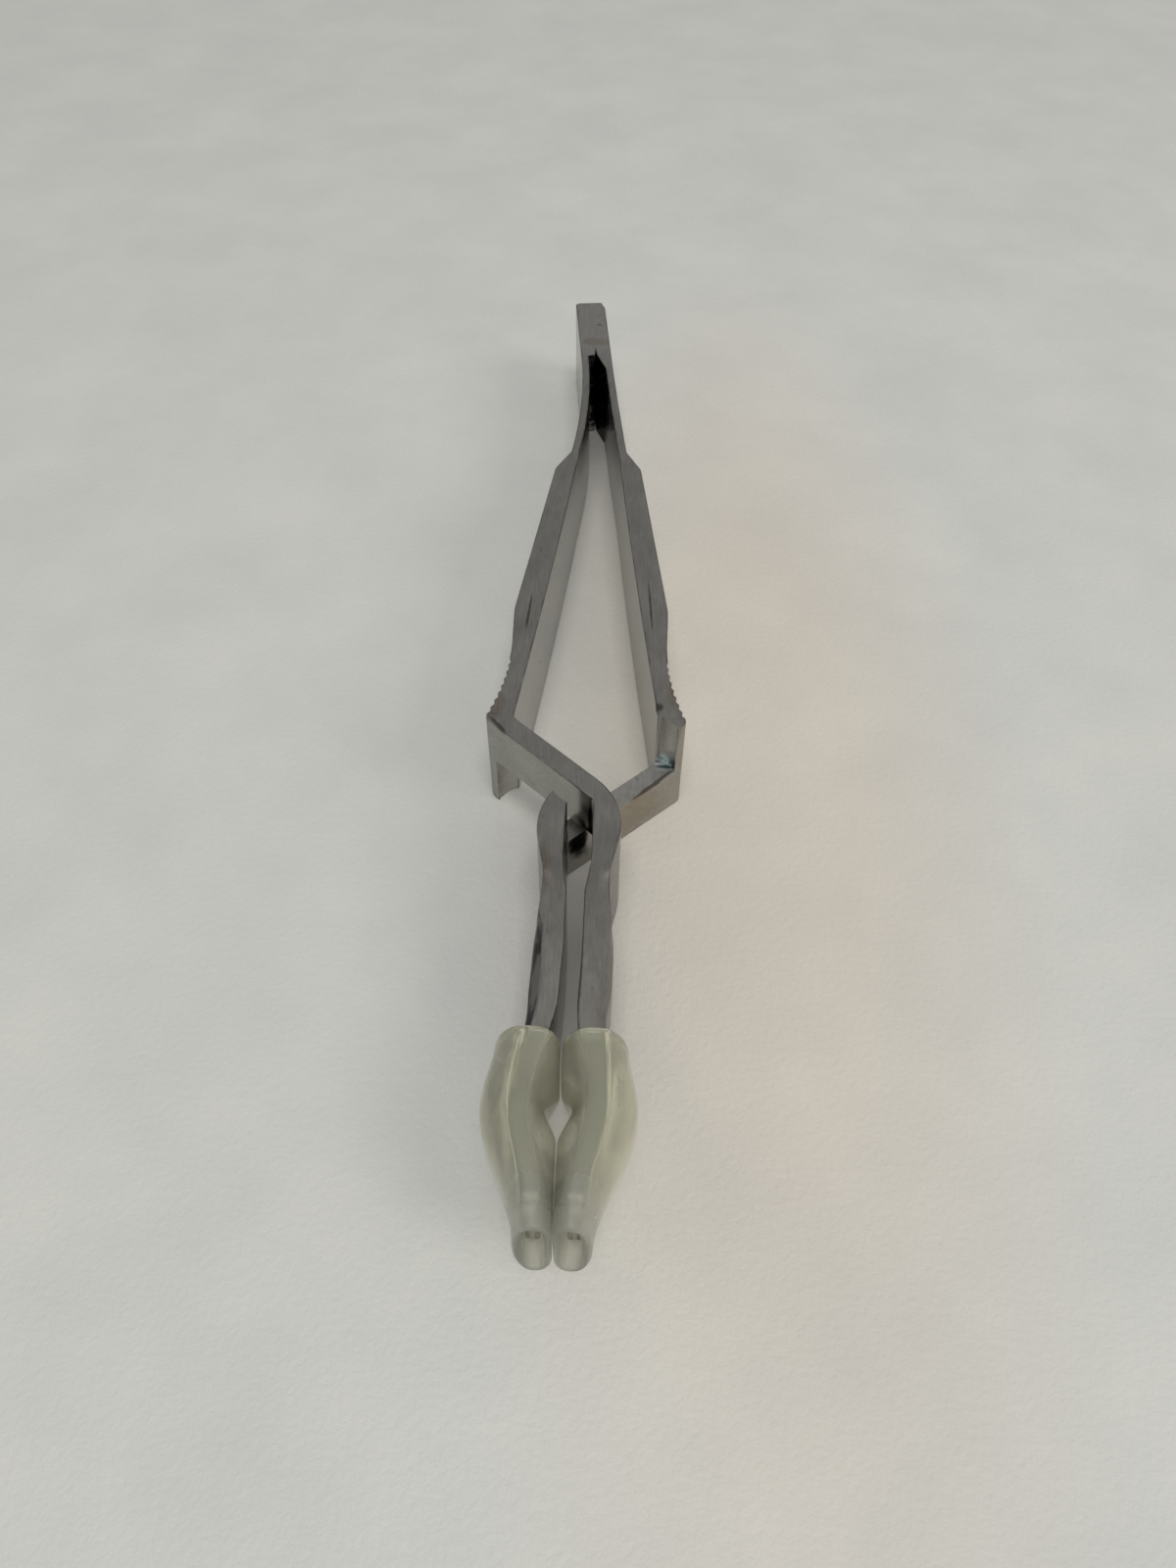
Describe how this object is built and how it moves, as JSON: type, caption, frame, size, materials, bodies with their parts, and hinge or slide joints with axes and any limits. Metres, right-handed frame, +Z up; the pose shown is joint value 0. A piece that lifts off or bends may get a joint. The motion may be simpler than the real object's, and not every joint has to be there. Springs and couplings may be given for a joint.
{
  "type": "forceps",
  "caption": "Small self-closing forceps with crossed spring arms that open when squeezed, and soft oval sleeves over the bowed jaws.",
  "frame": {"origin": "bottom centre of the bounding box, on the surface that the forceps lies on", "axes": "+Y from the jaws to the tail, +X to the right arm's grip, +Z up across the width of the strips"},
  "size_m": [0.0096, 0.064, 0.0058],
  "materials": {
    "steel": "satin, with polished side faces",
    "silicone": "translucent, smooth"
  },
  "bodies": {
    "tail": {"brazed_tail": "steel"},
    "left_arm": {"left_arm": "steel", "right_jaw_sleeve": "silicone"},
    "right_arm": {"right_arm": "steel", "left_jaw_sleeve": "silicone"}
  },
  "joints": [
    {"name": "left_arm_flex", "type": "hinge", "parent": "tail", "child": "left_arm", "pos_m": [-0.00105, 0.01998, 0.00287], "axis": [0, 0, 1], "range_deg": [0, 6], "stiffness_Nm_per_rad": 0.3, "springref_deg": -2.86},
    {"name": "right_arm_flex", "type": "hinge", "parent": "tail", "child": "right_arm", "pos_m": [0.00077, 0.01998, 0.00287], "axis": [0, 0, -1], "range_deg": [0, 6], "stiffness_Nm_per_rad": 0.3, "springref_deg": -2.86}
  ],
  "couplings": [
    {"joint": "right_arm_flex", "follows": "left_arm_flex", "ratio": 1}
  ]
}
